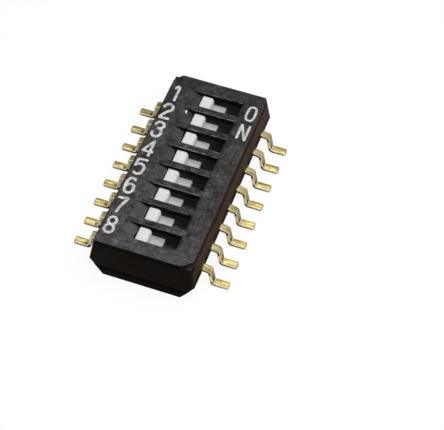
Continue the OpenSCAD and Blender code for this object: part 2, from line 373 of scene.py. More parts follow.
def black_side(name, end, flank, glow, inner_low, bands, level):
    """Drafted sides, smoother and darker than the top: partly their own finish, partly painted shade.

    The flanks are brown in stripes, given as shares of the height from waist to top, darker towards the near
    end and with a glow above each lead: the brown and the glow are painted reflections of the gold leads, the
    dark stripes painted shade, and the pale top stripe a painted highlight on the rounded top edge. The ends
    have dark bands of painted shade, each with its two heights and its share of the colour. Inside the slots
    the walls are greyer below the ramps' lips and paler near the right ends, as painted light, and dark just
    under the rims, as painted shade."""
    s = Shader(name)
    at = s.place()
    x, y, z = s.axes(at)
    along = s.size(y)
    cloud = s.noise(at, 700, 3, 0.55)
    grain = s.noise(at, 6500, 3, 0.65)
    height = s.total(z, s.span(cloud, 0.3, 0.7, -STRIPE_WAVE * MM, STRIPE_WAVE * MM))
    # painted light and shade in stripes up the flanks
    stripes = s.ramp(s.reach(height, WAIST_Z, TOP_Z), flank)
    stripes = s.scale(stripes, s.reach(y, *FLANK_END_Y, 0.78, 1.0))
    # painted reflection of the gold leads: a glow on the flanks above each lead
    by_lead = s.times(s.reach(s.to_row(y), *GLOW_MIDDLE), s.reach(along, *GLOW_ENDS_Y, 1.0, 0.0))
    stripes = s.mix(s.times(by_lead, s.band(height, 0.0, GLOW_TOP_Z, 0.08)), stripes, glow)
    outside = end
    # dark bands of painted shade across the ends
    for low, high, share in bands:
        outside = s.mix(s.band(height, low, high, 0.05), outside, times_colour(share, end))
    outside = s.mix(s.span(s.size(s.facing()["X"]), 0.4, 0.7), outside, stripes)
    # painted light and shade inside the slots: paler low down and near the right ends, dark just under the
    # rims
    deep = s.mix(s.reach(height, *INNER_LOW_Z), times_colour(4.0, inner_low), inner_low)
    inside = s.mix(s.reach(height, *INNER_TOP_Z), deep, times_colour(0.75, end))
    inside = s.scale(inside, s.reach(x, *INNER_END_X, 1.0, 1.7))
    within = s.times(s.reach(along, *CORE_ENDS_Y, 1.0, 0.0), s.reach(s.size(x), *INNER_SIDE_X, 1.0, 0.0))
    base = s.mix(within, outside, inside)
    base = s.mix(s.span(cloud, 0.35, 0.65, 0.0, 0.35), base, times_colour(0.4, end))
    base = s.mix(s.span(grain, 0.52, 0.7, 0.0, 0.5), base, times_colour(1.8, end))
    return s.finish(Base__Color=base, Roughness=0.5, Normal=s.bump(grain, 0.5, 0.02),
                    Specular__IOR__Level=level)


def rim_with_painted_highlight(name, low, high, level, clear_from, hidden_from):
    """Rounded rims of the black moulding: polished and paler in uneven runs, the paler runs being a painted
    highlight.

    The pale runs fade in past clear_from in X, and show only beyond hidden_from in Y, in millimetres."""
    s = Shader(name)
    at = s.place()
    x, y, _ = s.axes(at)
    runs = s.noise(at, 1700, 3, 0.6)
    fine = s.noise(at, 16000, 2, 0.6)
    clear = s.times(s.reach(x, clear_from, clear_from + 0.5, 0.15, 1.0),
                    s.reach(y, hidden_from, hidden_from + 0.1))
    base = s.mix(s.times(s.span(runs, 0.4, 0.6), clear), low, high)
    base = s.mix(s.span(fine, 0.35, 0.5, 0.5, 0.0), base, low)
    return s.finish(Base__Color=base, Roughness=s.span(runs, 0.3, 0.7, 0.6, 0.42),
                    Normal=s.bump(fine, 0.3, 0.008), Specular__IOR__Level=level)


WHITE_DULL = (0.86, 0.855, 0.84)
WHITE_CLEAN = (0.94, 0.935, 0.92)
# painted shade on the sliders' plates, low between the slot walls
WHITE_PLATE_SHADE = (0.66, 0.655, 0.64)


def white_plastic(name):
    """Smooth white moulding with a faint unevenness, greyer up to the top of the sliders' plates as painted
    shade.
    """
    s = Shader(name)
    at = s.place()
    cloud = s.noise(at, 2200, 3, 0.5)
    fine = s.noise(at, 12000, 2, 0.5)
    base = s.mix(s.span(cloud, 0.35, 0.65), WHITE_DULL, WHITE_CLEAN)
    base = s.scale(base, s.span(fine, 0.38, 0.5, 0.86, 1.0))
    base = s.mix(s.reach(s.axes(at)["Z"], PLATE_Z[1], PLATE_Z[1] + 0.1, 1.0, 0.0), base, WHITE_PLATE_SHADE)
    return s.finish(Base__Color=base, Roughness=s.span(cloud, 0.3, 0.7, 0.38, 0.5),
                    Normal=s.bump(fine, 0.2, 0.006), Subsurface__Weight=0.12, Subsurface__Scale=0.2 * MM,
                    Subsurface__Radius=(1.0, 1.0, 1.0))


# The leads' colours: GOLD_STREAK is the rolled streaks' own, the rest are painted shade, reflections and
# highlights
GOLD_STREAK = (0.36, 0.25, 0.05)
GOLD_OUTSIDE = (0.15, 0.09, 0.025)
GOLD_FAR_EDGE = (0.30, 0.20, 0.05)
GOLD_NEAR_EDGE = (1.0, 0.97, 0.74)
GOLD_SPOT = (0.10, 0.06, 0.015)
GOLD_SIDE_SHADE = (0.016, 0.009, 0.003)
GOLD_LEG_LEFT = (1.0, 0.93, 0.62)
GOLD_LEG_RIGHT = (0.95, 0.82, 0.52)
GOLD_CREST = (1.0, 0.91, 0.56)
GOLD_INSIDE = (1.0, 0.95, 0.76)
GOLD_HEEL = (1.0, 0.95, 0.66)


def gold_plating(name, low, high, warm, roughness):
    """Gold over rolled strip, with streaks along it, soft dents and warm patches.

    All that follows is painted light. The sheared sides are dull on the level run and near the heel, a painted
    reflection of the shade under the body, and bright on the leg, a painted reflection of the floor. The leg's
    outer face is darker, most of all near the foot, as painted shade, and its inner face and the heel are
    bright, as a painted reflection and a painted highlight. The crests are paler, a painted highlight, and
    darker on the left.
    The strip is dark along its far edge as painted shade. The feet are pale along their near edge as a painted
    highlight, and the left ones have a dark spot before the heel, as painted shade. The left level runs are
    darker than the right ones, and all leads get darker towards the far end, as painted sheen."""
    s = Shader(name)
    at = s.place()
    x, y, height = s.axes(at)
    normal_x, normal_y, normal_z = s.facing()
    out = s.size(x)
    across = s.math("FRACT", s.math("DIVIDE", y, PITCH * MM))

    def over_width(low, high, to_low, to_high):
        """As reach, for the distance along Y from the lead's middle."""
        return s.span(across, 0.5 + low / PITCH, 0.5 + high / PITCH, to_low, to_high)

    streaks = s.noise(s.stretch(at, (0.35, 2.2, 1.0)), 9000, 3, 0.6)
    dents = s.noise(s.stretch(at, (0.5, 1.2, 1.0)), 2400, 1, 0.5)
    drawn = s.noise(s.stretch(at, (0.12, 1.0, 0.12)), 6500, 2, 0.5)
    pits = s.noise(at, 15000, 2, 0.6)
    tint = s.noise(at, 520, 1, 0.5)

    right = s.reach(x, -1.0, 1.0)
    side = s.span(s.size(normal_y), 0.8, 0.95)
    away = s.times(normal_x, s.span(right, 0.0, 1.0, -1.0, 1.0))
    outward, inward = s.span(away, 0.8, 0.95), s.span(away, -0.95, -0.8, 1.0, 0.0)
    heel = s.times(s.span(s.size(normal_x), 0.15, 0.3), s.reach(height, *HEEL_TOP_Z, 1.0, 0.0),
                   s.span(normal_z, 0.1, 0.3))
    above_foot = s.reach(height, *LEG_LOW_Z)
    on_leg = s.times(above_foot, s.reach(height, *LEG_TOP_Z, 1.0, 0.0))
    on_leg = s.most(on_leg, s.times(above_foot, s.math("SUBTRACT", 1.0, right)))
    on_crest = s.times(s.span(normal_z, 0.8, 0.95), s.reach(height, *CREST_Z))
    on_foot = s.reach(height, *FOOT_TOP_Z, 1.0, 0.0)
    far_edge = over_width(*FAR_EDGE_WIDTH, 0.0, 0.75)
    near_edge = s.times(over_width(*NEAR_EDGE_WIDTH, 0.6, 0.0), on_foot)
    spot = s.times(s.reach(out, *SPOT_INNER_X), s.reach(out, *SPOT_OUTER_X, 1.0, 0.0), on_foot,
                   over_width(*SPOT_WIDTH, 1.0, 0.0), s.span(right, 0.0, 1.0, 0.85, 0.0))

    base = s.mix(s.span(streaks, 0.35, 0.68), low, s.mix(s.span(tint, 0.42, 0.58), high, warm))
    base = s.mix(s.span(dents, 0.5, 0.64, 0.0, 0.5), base, warm)
    base = s.mix(s.span(drawn, 0.38, 0.52, 0.75, 0.0), base, GOLD_STREAK)
    # painted shade on the leg's outer face, most of all near the foot
    base = s.mix(s.times(outward, s.reach(height, *LEG_SHADE_Z, 0.92, 0.35)), base, GOLD_OUTSIDE)
    # painted shade along the far edge, a painted highlight along the near edge, and painted shade in the spot
    base = s.mix(far_edge, base, GOLD_FAR_EDGE)
    base = s.mix(near_edge, base, GOLD_NEAR_EDGE)
    base = s.mix(spot, base, GOLD_SPOT)
    # painted reflections on the sides: dark on the level run and near the heel, bright on the leg
    base = s.mix(s.times(side, s.reach(out, LEG_X + LEG_LEAN, TIP_X, 0.98, 0.45)), base, GOLD_SIDE_SHADE)
    base = s.mix(s.times(side, on_leg), base, s.mix(right, GOLD_LEG_LEFT, GOLD_LEG_RIGHT))
    # painted highlight on the crests, and painted shade on the left crests and left level runs
    base = s.mix(s.times(on_crest, s.span(drawn, 0.38, 0.55, 0.15, 0.75)), base, GOLD_CREST)
    base = s.scale(base, s.span(s.most(right, on_leg), 0.0, 1.0, 0.95, 1.0))
    base = s.scale(base, s.span(s.math("SUBTRACT", on_crest, right), 0.0, 1.0, 1.0, 0.6))
    # painted reflection on the legs' inner faces and painted highlight on the heels
    base = s.mix(inward, base, GOLD_INSIDE)
    base = s.mix(heel, base, GOLD_HEEL)
    # painted sheen: darker towards the far end, most on the left leads
    by_row = s.reach(y, row_y(1), row_y(POSITIONS), 0.7, 1.0)
    base = s.scale(base, s.most(by_row, s.span(right, 0.0, 1.0, 0.0, 0.9)))
    normal = s.bump(dents, 0.9, 0.06)
    normal = s.bump(streaks, 0.6, 0.015, normal)
    return s.finish(Base__Color=base, Metallic=1.0, Normal=normal,
                    Roughness=s.span(pits, 0.3, 0.7, roughness - 0.07, roughness + 0.1))


def gold_edge_highlight(name, low, high, under):
    """Rounded edges of the gold strip: brighter, as a painted highlight, and smoother, with duller runs.

    They are darker where they look to the far end, and dark where they look down, both painted shade."""
    s = Shader(name)
    runs = s.noise(s.place(), 3200, 3, 0.6)
    _, normal_y, normal_z = s.facing()
    base = s.mix(s.span(runs, 0.4, 0.55), low, high)
    base = s.mix(s.span(normal_y, 0.2, 0.5, 0.0, 0.8), base, GOLD_FAR_EDGE)
    base = s.mix(s.span(normal_z, -0.3, -0.1, 1.0, 0.0), base, under)
    return s.finish(Base__Color=base, Metallic=1.0, Roughness=0.2)


def ink(name):
    """Pad-printed white ink, thin and speckled so that the grain below shows through."""
    s = Shader(name)
    at = s.place()
    cloud = s.noise(at, 3200, 2, 0.5)
    grain = s.noise(at, 14000, 3, 0.6)
    thin = s.total(s.times(cloud, 0.4), s.times(grain, 0.6))
    base = s.ramp(thin, ((0.36, (0.22, 0.21, 0.22)), (0.45, (0.55, 0.55, 0.56)), (0.54, (0.80, 0.80, 0.80))))
    return s.finish(Base__Color=base, Roughness=0.55, Normal=s.bump(grain, 0.4, 0.01))


# The cover's flank stripes are painted light: brown for the reflected gold leads, dark for shade, pale for the
# highlight on the rounded top edge
FLANK_GOLD_REFLECTION = (0.094, 0.058, 0.036)
FLANK_SHADE = (0.012, 0.007, 0.004)
FLANK_PAINTED_LIGHT = ((0.0, (0.008, 0.005, 0.003)), (0.12, FLANK_SHADE), (0.35, FLANK_GOLD_REFLECTION), (0.62, FLANK_GOLD_REFLECTION),
                 (0.75, FLANK_SHADE), (0.84, FLANK_SHADE), (0.92, (0.078, 0.055, 0.046)))
BASE_FLANK = (0.014, 0.009, 0.006)

COVER_TOP = black_top("cover_top", far=(0.054, 0.050, 0.049), near=(0.100, 0.0935, 0.0945), rough=0.7,
                      level=0.06)
# cover: the glow is a painted reflection of the gold leads, and the end bands are painted shade under the top
# edge and along the joint
COVER_SIDE = black_side("cover_side", end=(0.0120, 0.0071, 0.0041), flank=FLANK_PAINTED_LIGHT,
                        glow=(0.15, 0.095, 0.034), inner_low=(0.039, 0.037, 0.037),
                        bands=[(2.12, 2.34, 0.05), (0.5, 0.72, 0.5)], level=0.03)
# the cover's rims: pale runs of painted highlight, away from the near end and the left
COVER_RIM = rim_with_painted_highlight("cover_rim", low=(0.0105, 0.0075, 0.0055), high=(0.28, 0.26, 0.245), level=0.05,
                        clear_from=-1.3, hidden_from=-5.3)
# the base's top faces, seen as the pocket floors, are paler than the cover's top as painted light
BASE_TOP = black_top("base_top", far=(0.18, 0.172, 0.19), near=(0.2, 0.192, 0.21), rough=0.7, level=0.1)
# base: its end band is a painted shadow cast by the cover's overhanging skirt
BASE_SIDE = black_side("base_side", end=(0.018, 0.0115, 0.0075), flank=((0.0, BASE_FLANK), (1.0, BASE_FLANK)),
                       glow=BASE_FLANK, inner_low=(0.03, 0.026, 0.030), bands=[(0.40, 0.7, 0.0)], level=0.02)
BASE_RIM = rim_with_painted_highlight("base_rim", low=(0.004, 0.003, 0.0025), high=(0.02, 0.017, 0.015), level=0.05,
                       clear_from=-9.0, hidden_from=-9.0)
SLIDER_WHITE = white_plastic("slider_white")
LEAD_GOLD = gold_plating("lead_gold", low=(0.62, 0.50, 0.14), high=(1.0, 0.91, 0.39), warm=(1.0, 0.77, 0.35),
                         roughness=0.2)
# the leads' rounded edges: painted highlight, with painted shade where they face the far end or down
LEAD_EDGE = gold_edge_highlight("lead_edge", low=(0.80, 0.64, 0.24), high=(1.0, 0.95, 0.62),
                           under=(0.03, 0.018, 0.006))
SPRING_GOLD = gold_plating("spring_gold", low=(0.80, 0.60, 0.24), high=(0.92, 0.75, 0.40),
                           warm=(0.92, 0.72, 0.38), roughness=0.2)
INK_WHITE = ink("ink_white")
FLECK_WHITE = white_plastic("fleck_white")


# Mesh helpers
def to_object(bm, name, materials, smooth_below=35.0):
    """Makes an object of a mesh in metres, smooth except at edges sharper than an angle in degrees."""
    bmesh.ops.recalc_face_normals(bm, faces=bm.faces)
    weight = bm.edges.layers.float.get("bevel_weight_edge")
    for face in bm.faces:
        face.smooth = True
    for edge in bm.edges:
        sharp = edge.calc_face_angle(0.0) > math.radians(smooth_below)
        if sharp and not (weight and edge[weight] > 0):
            edge.smooth = False
    mesh = bpy.data.meshes.new(name)
    bm.to_mesh(mesh)
    bm.free()
    for material in materials if isinstance(materials, tuple) else (materials,):
        mesh.materials.append(material)
    made = bpy.data.objects.new(name, mesh)
    bpy.context.scene.collection.objects.link(made)
    return made


def scaled(bm):
    """The mesh, from millimetres to metres."""
    bmesh.ops.scale(bm, vec=(MM, MM, MM), verts=bm.verts)
    return bm


def sort_sides(bm, above, strip=0.07, level=0.97, sloping=0.6):
    """Gives the second material to all faces that are low or don't look up.

    In the strip along the left and near edges only faces that are almost level look up, so that the rounded
    edges there take the darker second material as painted shade."""
    bm.normal_update()
    for face in bm.faces:
        centre = face.calc_center_median()
        # painted shade on the rounded left and near edges
        dark_edge = centre.x < -(TOP_HALF_W - strip) * MM or centre.y < -(END_Y - strip) * MM
        looks_up = face.normal.z > (level if dark_edge else sloping) and centre.z > above * MM
        face.material_index = 0 if looks_up else 1


def round_edges(made, width, segments, rim=None):
    """Rounds the edges that carry a bevel weight, a share of the width. The rim is their material."""
    bevel = made.modifiers.new("rounding", "BEVEL")
    bevel.limit_method = "WEIGHT"
    bevel.width = width * MM
    bevel.segments = segments
    bevel.use_clamp_overlap = False
    bevel.loop_slide = False
    bevel.harden_normals = True
    if rim:
        made.data.materials.append(rim)
        bevel.material = len(made.data.materials) - 1


def moulding_from(node):
    """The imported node's mesh without its triangulation, in metres."""
    bm = bmesh.new()
    bm.from_mesh(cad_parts[node].data)
    for layer in list(bm.loops.layers.uv.values()):
        bm.loops.layers.uv.remove(layer)
    bmesh.ops.remove_doubles(bm, verts=bm.verts, dist=WELD * MM)
    bmesh.ops.dissolve_limit(bm, angle_limit=math.radians(FLAT_WITHIN), verts=bm.verts, edges=bm.edges)
    return bm


def weigh_edges(bm, rule):
    """Gives each convex edge the bevel weight that the rule says.

    The rule gets the edge's ends, in millimetres, and its angle, in degrees."""
    layer = bm.edges.layers.float.new("bevel_weight_edge")
    for edge in bm.edges:
        if len(edge.link_faces) == 2 and edge.is_convex:
            a, b = (v.co / MM for v in edge.verts)
            edge[layer] = rule(a, b, math.degrees(edge.calc_face_angle(0.0)))


def stay(made, node, body):
    """Lets a piece ride on a body, in place of a node where one is named."""
    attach(made, body)
    if node:
        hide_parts(node)


# Cover and base
def cover_rule(a, b, angle):
    """Rims of the slots, lips of the ramps and corners of the body, most of all the near right one."""
    if angle < COVER_ANGLE:
        return 0.0
    on_top = min(a.z, b.z) > TOP_Z - HAIR
    inside = max(abs(a.x), abs(b.x)) < RIMS_HALF_X and max(abs(a.y), abs(b.y)) < RIMS_HALF_Y
    if on_top and inside:
        return SLOT_END_SHARE if min(a.x, b.x) > SLOT_END - HAIR else SLOT_SHARE
    if all(abs(p.x - LIP_X) < HAIR and abs(p.z - LIP_Z) < HAIR for p in (a, b)):
        return SLOT_SHARE
    if min(abs(a.y), abs(b.y)) > CORNER_Y and min(abs(a.x), abs(b.x)) > CORNER_X:
        return NEAR_RIGHT_SHARE if max(a.y, b.y) < 0 < min(a.x, b.x) else CORNER_SHARE
    return 0.0


def base_rule(a, b, angle):
    """Foot of the base, and its upright and level edges at the two ends."""
    if angle < BASE_ANGLE:
        return 0.0
    if max(a.z, b.z) < STAND_OFF + HAIR:
        return BASE_FOOT_SHARE
    if max(a.z, b.z) < JOINT_Z + HAIR and min(abs(a.y), abs(b.y)) > BASE_END_Y:
        return BASE_UPRIGHT_SHARE if abs(a.z - b.z) > BASE_UPRIGHT else BASE_LEVEL_SHARE
    return 0.0


bm = moulding_from("cover")
weigh_edges(bm, cover_rule)
sort_sides(bm, WAIST_Z)
cover = to_object(bm, "cover_shell", (COVER_TOP, COVER_SIDE))
round_edges(cover, COVER_ROUND, 4, COVER_RIM)
stay(cover, "cover", "housing")

bm = moulding_from("base")
weigh_edges(bm, base_rule)
sort_sides(bm, STAND_OFF)
base = to_object(bm, "base_moulding", (BASE_TOP, BASE_SIDE))
round_edges(base, BASE_ROUND, 3, BASE_RIM)
stay(base, "base", "housing")


# Sliders
def slider_mesh():
    """A plate with a knob above and a peg below, grown from one grid so that all stays one skin."""
    bm = bmesh.new()
    layer = bm.edges.layers.float.new("bevel_weight_edge")

    def storey(xs, ys, z):
        return [[bm.verts.new((x, y, z)) for x in xs] for y in ys]

    def shelf(grid, flip):
        for j in range(3):
            for i in range(3):
                if (i, j) != (1, 1):
                    quad = [grid[j][i], grid[j][i + 1], grid[j + 1][i + 1], grid[j + 1][i]]
                    bm.faces.new(quad[::-1] if flip else quad)

    def tower(grid, z):
        foot = [grid[1][1], grid[1][2], grid[2][2], grid[2][1]]
        head = [bm.verts.new((v.co.x, v.co.y, z)) for v in foot]
        for k in range(4):
            bm.faces.new((foot[k], foot[(k + 1) % 4], head[(k + 1) % 4], head[k]))
        bm.faces.new(head)

    hw, kw, pw = PLATE_W / 2, KNOB_W / 2, PEG_W / 2
    top = storey((PLATE_X[0], *KNOB_X, PLATE_X[1]), (-hw, -kw, kw, hw), PLATE_Z[1])
    low = storey((PLATE_X[0], *PEG_X, PLATE_X[1]), (-hw, -pw, pw, hw), PLATE_Z[0])
    shelf(top, False)
    shelf(low, True)
    tower(top, KNOB_TOP)
    tower(low, PEG_Z)
    for x in (0, 3):
        bm.faces.new([top[j][x] for j in range(4)] + [low[j][x] for j in range(3, -1, -1)])
    for y in (0, 3):
        bm.faces.new([top[y][i] for i in range(4)] + [low[y][i] for i in range(3, -1, -1)])
    bm.normal_update()
    bmesh.ops.recalc_face_normals(bm, faces=bm.faces)
    for edge in bm.edges:
        if edge.calc_face_angle(0.0) < math.radians(SLIDER_ANGLE):
            continue
        a, b = (v.co for v in edge.verts)
        high, deep = max(a.z, b.z), min(a.z, b.z)
        other = min(a.x, b.x) < KNOB_X[1] - HAIR
        if deep > KNOB_TOP - HAIR:
            edge[layer] = KNOB_TOP_SHARES[other]
        elif high > KNOB_TOP - HAIR:
            edge[layer] = KNOB_UPRIGHT_SHARES[other]
        elif deep > PLATE_Z[0] - HAIR:
            if edge.is_convex:
                edge[layer] = PLATE_SHARE
            elif high > PLATE_Z[0] + HAIR:
                edge[layer] = KNOB_FOOT_SHARE
    return scaled(bm)


for i in range(1, POSITIONS + 1):
    bm = slider_mesh()
    bmesh.ops.translate(bm, vec=(0, row_y(i) * MM, 0), verts=bm.verts)
    slider = to_object(bm, f"slider_knob_{i}", SLIDER_WHITE)
    round_edges(slider, KNOB_ROUND, 4)
    stay(slider, f"slider_{i}", f"switch_{i}")


# Contact springs
for i in range(1, POSITIONS + 1):
    bm = moulding_from(f"contact_spring_{i}")
    spring = to_object(bm, f"spring_strip_{i}", SPRING_GOLD)
    stay(spring, f"contact_spring_{i}", f"switch_{i}")


# Terminals
def bend(path, radii, steps=8):
    """Rounds the inner corners of a line of (x, z) points."""
    line = [Vector(path[0])]
    for a, b, c, radius in zip(path, path[1:], path[2:], radii):
        a, b, c = Vector(a), Vector(b), Vector(c)
        u, v = (a - b).normalized(), (c - b).normalized()
        half = u.angle(v) / 2
        centre = b + (u + v).normalized() * radius / math.sin(half)
        start = b + u * radius / math.tan(half) - centre
        turn = (math.pi - 2 * half) * (1 if v.x * u.y - v.y * u.x > 0 else -1)
        for k in range(steps + 1):
            t = turn * k / steps
            line.append(centre + Vector((start.x * math.cos(t) - start.y * math.sin(t),
                                         start.x * math.sin(t) + start.y * math.cos(t))))
    line.append(Vector(path[-1]))
    return line


def section(half_w, half_t, radius, steps=3):
    """Rounded rectangle, as (across, up) points."""
    points = []
    for su, sv, start in ((1, 1, 0), (-1, 1, 90), (-1, -1, 180), (1, -1, 270)):
        for k in range(steps + 1):
            t = math.radians(start + 90 * k / steps)
            points.append((su * (half_w - radius) + radius * math.cos(t),
                           sv * (half_t - radius) + radius * math.sin(t)))
    return points


def lead_mesh(pad, side):
    """One terminal: its pad, the level run, the leg and the foot, swept as one rounded strip.

    The corners of its tip are rounded as seen from above, and its last edge is eased."""
    inner, outer = (pad[0], pad[1]) if side > 0 else (-pad[1], -pad[0])
    path = [(inner, LEVEL_Z), (WAIST_HALF_W + LEAD_LEVEL, LEVEL_Z), (LEG_X, LEVEL_Z - LEAD_DROP),
            (LEG_X + LEG_LEAN, FOOT_Z), (TIP_X, FOOT_Z)]
    line = bend(path, (BEND_R, BEND_R, HEEL_R))
    stations = [(line[0], PAD_W / 2 - PAD_BEVEL, LEAD_T / 2 - PAD_BEVEL, PAD_BEVEL),
                (line[0] + Vector((PAD_BEVEL, 0)), PAD_W / 2, LEAD_T / 2, PAD_ROUND),
                (Vector((outer, LEVEL_Z)), PAD_W / 2, LEAD_T / 2, PAD_ROUND),
                (Vector((outer + PAD_STEP, LEVEL_Z)), LEAD_W / 2, LEAD_T / 2, PAD_ROUND),
                (Vector((outer + PAD_FADE, LEVEL_Z)), LEAD_W / 2, LEAD_T / 2, LEAD_ROUND)]
    stations += [(p, LEAD_W / 2, LEAD_T / 2, LEAD_ROUND) for p in line[1:-1]]
    for degrees in TIP_STEPS:
        back = TIP_ROUND * (1 - math.sin(math.radians(degrees)))
        narrower = TIP_ROUND * (1 - math.cos(math.radians(degrees)))
        thinner = TIP_EASE * (1 - math.sqrt(1 - max(0.0, 1 - back / TIP_EASE) ** 2))
        stations.append((line[-1] - Vector((back, 0)), LEAD_W / 2 - narrower, LEAD_T / 2 - thinner,
                         LEAD_ROUND - thinner / 2))
    bm = bmesh.new()
    rings = []
    for k, (p, half_w, half_t, radius) in enumerate(stations):
        before = stations[max(k - 1, 0)][0]
        after = stations[min(k + 1, len(stations) - 1)][0]
        along = (after - before).normalized()
        up = Vector((-along.y, along.x))
        ring = []
        for across, height in section(half_w, half_t, radius):
            q = p + up * height
            ring.append(bm.verts.new((side * q.x, across, q.y)))
        rings.append(ring)
    corner = len(section(LEAD_W, LEAD_W, LEAD_ROUND)) // 4
    for a, b in zip(rings, rings[1:]):
        for k in range(len(a)):
            m = (k + 1) % len(a)
            strip = bm.faces.new((a[k], a[m], b[m], b[k]))
            strip.material_index = 0 if k % corner == corner - 1 else 1
    bm.faces.new(rings[0])
    bm.faces.new(rings[-1])
    return scaled(bm)


for i in range(1, POSITIONS + 1):
    for side, pad, word in ((-1, LEFT_PAD, "left"), (1, RIGHT_PAD, "right")):
        bm = lead_mesh(pad, side)
        bmesh.ops.translate(bm, vec=(0, row_y(i) * MM, 0), verts=bm.verts)
        lead = to_object(bm, f"lead_{word}_{i}", (LEAD_GOLD, LEAD_EDGE), LEAD_CREASE)
        stay(lead, f"terminal_{word}_{i}", "housing")


# Printed marks
def smooth_line(points, steps=6):
    """Catmull-Rom curve through the points."""
    ends = [points[0], *points, points[-1]]
    line = []
    for p0, p1, p2, p3 in zip(ends, ends[1:], ends[2:], ends[3:]):
        for k in range(steps):
            t = k / steps
            line.append(tuple(b + 0.5 * ((c - a) * t + (2 * a - 5 * b + 4 * c - d) * t * t
                                         + (3 * b - a - 3 * c + d) * t ** 3)
                              for a, b, c, d in zip(p0, p1, p2, p3)))
    line.append(points[-1])
    return line


def loop(cx, cy, rx, ry, power=2.0, steps=32):
    """Closed oval, squarer with a higher power."""
    points = []
    for k in range(steps + 1):
        t = 2 * math.pi * k / steps
        c, s = math.cos(t), math.sin(t)
        points.append((cx + rx * math.copysign(abs(c) ** (2 / power), c),
                       cy + ry * math.copysign(abs(s) ** (2 / power), s)))
    return points


# Each mark is its pen's width and a list of strokes about its middle, in millimetres
MARKS = {
    "1": (0.135, [smooth_line([(-0.10, 0.35), (-0.075, 0.43), (-0.015, 0.485), (0.055, 0.47), (0.078, 0.40)]),
                  [(0.075, 0.44), (0.085, -0.45)]]),
    "2": (0.15, [smooth_line([(-0.225, 0.26), (-0.19, 0.38), (-0.09, 0.475), (0.04, 0.485), (0.16, 0.42),
                              (0.222, 0.31), (0.212, 0.19), (0.14, 0.08), (0.03, -0.03), (-0.08, -0.17),
                              (-0.17, -0.32), (-0.215, -0.45)]),
                 [(-0.215, -0.48), (0.215, -0.465)]]),
    "3": (0.15, [smooth_line([(-0.22, 0.30), (-0.185, 0.41), (-0.09, 0.48), (0.03, 0.485), (0.15, 0.43),
                              (0.215, 0.32), (0.20, 0.20), (0.12, 0.11), (-0.02, 0.07)]),
                 smooth_line([(-0.02, 0.07), (0.10, 0.05), (0.19, -0.05), (0.225, -0.19), (0.195, -0.34),
                              (0.10, -0.45), (-0.03, -0.485), (-0.15, -0.435), (-0.22, -0.33),
                              (-0.235, -0.25)])]),
    "4": (0.135, [[(0.125, 0.48), (-0.235, -0.24)], [(-0.235, -0.255), (0.25, -0.24)],
                  [(0.14, 0.48), (0.15, -0.49)]]),
    "5": (0.145, [[(0.23, 0.455), (-0.20, 0.45)], [(-0.205, 0.45), (-0.235, 0.03)],
                  smooth_line([(-0.225, 0.03), (-0.13, 0.135), (0.02, 0.165), (0.16, 0.11), (0.24, -0.03),
                               (0.25, -0.21), (0.20, -0.37), (0.09, -0.465), (-0.04, -0.485),
                               (-0.15, -0.43)])]),
    "6": (0.145, [smooth_line([(0.13, 0.395), (0.06, 0.455), (-0.05, 0.455), (-0.155, 0.385), (-0.215, 0.24),
                               (-0.232, 0.05), (-0.23, -0.15), (-0.195, -0.32), (-0.105, -0.435),
                               (0.01, -0.465), (0.135, -0.42), (0.215, -0.29), (0.225, -0.135),
                               (0.185, 0.005), (0.085, 0.085), (-0.04, 0.08), (-0.15, 0.0),
                               (-0.215, -0.12)])]),
    "7": (0.145, [smooth_line([(-0.215, 0.42), (-0.10, 0.425), (0.02, 0.44), (0.13, 0.48), (0.225, 0.455)]),
                  smooth_line([(0.225, 0.45), (0.165, 0.31), (0.09, 0.10), (0.02, -0.12), (-0.02, -0.32),
                               (-0.04, -0.46)])]),
    "8": (0.135, [loop(0.0, 0.255, 0.20, 0.225), loop(0.0, -0.235, 0.225, 0.25)]),
    "O": (0.12, [loop(0.0, 0.0, 0.215, 0.46, 2.7, 48)]),
    "N": (0.13, [[(-0.205, -0.455), (-0.20, 0.455)], [(-0.19, 0.455), (0.20, -0.455)],
                 [(0.215, -0.455), (0.215, 0.455)]]),
}


